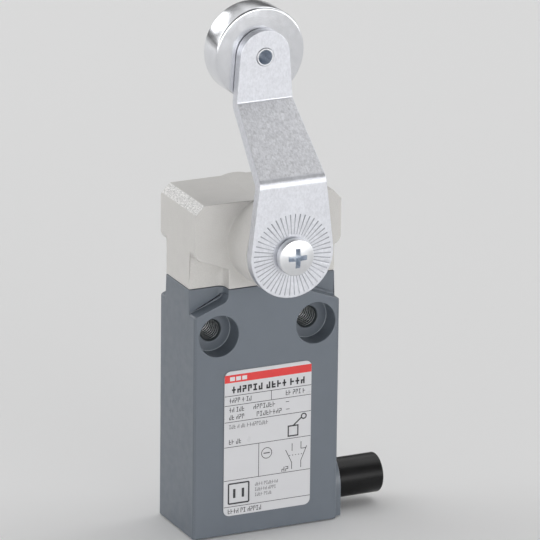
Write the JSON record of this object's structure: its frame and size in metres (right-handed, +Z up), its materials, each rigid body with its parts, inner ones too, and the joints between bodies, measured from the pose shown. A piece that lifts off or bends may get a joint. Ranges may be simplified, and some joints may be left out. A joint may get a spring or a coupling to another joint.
{
  "type": "limit switch",
  "caption": "Compact pre-wired limit switch: painted metal case, cast head, cranked steel lever with a roller, and a round cable leaving the side.",
  "frame": {"origin": "on the rear mounting face, midway between the two fixing holes", "axes": "+Y out of the rear mounting face, +Z up towards the roller, +X the side the cable leaves"},
  "size_m": [0.042, 0.0289, 0.1016],
  "materials": {
    "casing_paint": "satin grey powder paint over die-cast metal, pieces worn at the edges",
    "head_casting": "bare die-cast alloy with a fine matt grain",
    "zinc_plate": "zinc-plated sheet steel, faintly mottled",
    "bright_steel": "bright turned steel",
    "spring_steel": "dull spring steel",
    "bearing_bronze": "plain sintered bronze",
    "contact_brass": "bright strip",
    "black_rubber": "matt black",
    "cable_jacket": "smooth black with a slight sheen",
    "label_film": "printed pale film with a red band",
    "block_moulding": "black moulding",
    "carrier_plastic": "red moulding",
    "cover_plastic": "dark grey moulding",
    "core_brown": "smooth insulation",
    "core_blue": "smooth insulation",
    "core_black": "smooth insulation",
    "core_grey": "smooth insulation",
    "core_earth": "smooth green and yellow insulation"
  },
  "bodies": {
    "housing": {"body_casing": "casing_paint", "bottom_cover": "cover_plastic", "rating_label": "label_film", "head_housing": "head_casting", "head_gasket": "black_rubber", "head_screw_left": "bright_steel", "head_screw_right": "bright_steel", "shaft_bush": "bearing_bronze", "shaft_seal": "black_rubber", "spring_stop_pin": "bright_steel", "push_rod_guide": "bearing_bronze", "push_rod_seal": "black_rubber", "contact_block_base": "block_moulding", "contact_block_cover": "block_moulding", "nc_contact_left": "contact_brass", "nc_contact_right": "contact_brass", "no_contact_left": "contact_brass", "no_contact_right": "contact_brass", "earth_tag": "contact_brass", "cable_jacket": "cable_jacket", "cable_seal": "black_rubber", "cable_core_brown": "core_brown", "cable_core_blue": "core_blue", "cable_core_black": "core_black", "cable_core_grey": "core_grey", "cable_core_earth": "core_earth"},
    "lever": {"shaft": "bright_steel", "shaft_retaining_ring": "spring_steel", "trip_cam": "zinc_plate", "cam_pin": "bright_steel", "lever_arm": "zinc_plate", "lever_screw": "bright_steel", "lever_lock_washer": "spring_steel", "roller_rivet": "bright_steel", "lever_return_spring": "spring_steel"},
    "roller": {"roller": "bright_steel", "roller_bush": "bearing_bronze"},
    "plunger": {"push_rod": "bright_steel", "contact_carrier": "carrier_plastic", "bridge_spring": "spring_steel", "carrier_return_spring": "spring_steel"},
    "bridge": {"contact_bridge": "contact_brass"}
  },
  "joints": [
    {"name": "lever_swing", "type": "hinge", "parent": "housing", "child": "lever", "pos_m": [0, -0.0244, 0.018], "axis": [0, 1, 0], "range_deg": [-75, 75], "stiffness_Nm_per_rad": 0.12, "deforming": ["lever_return_spring"]},
    {"name": "roller_spin", "type": "hinge", "parent": "lever", "child": "roller", "pos_m": [0, -0.0083, 0.0526], "axis": [0, 1, 0], "continuous": true},
    {"name": "plunger_slide", "type": "slide", "parent": "housing", "child": "plunger", "axis": [0, 0, 1], "range_m": [-0.0024, 0], "stiffness_N_per_m": 500, "deforming": ["carrier_return_spring"]},
    {"name": "bridge_slide", "type": "slide", "parent": "housing", "child": "bridge", "axis": [0, 0, 1], "range_m": [-0.00145, 0], "deforming": ["bridge_spring"]}
  ],
  "couplings": [
    {"joint": "bridge_slide", "follows": "plunger_slide", "ratio": 0.6}
  ]
}
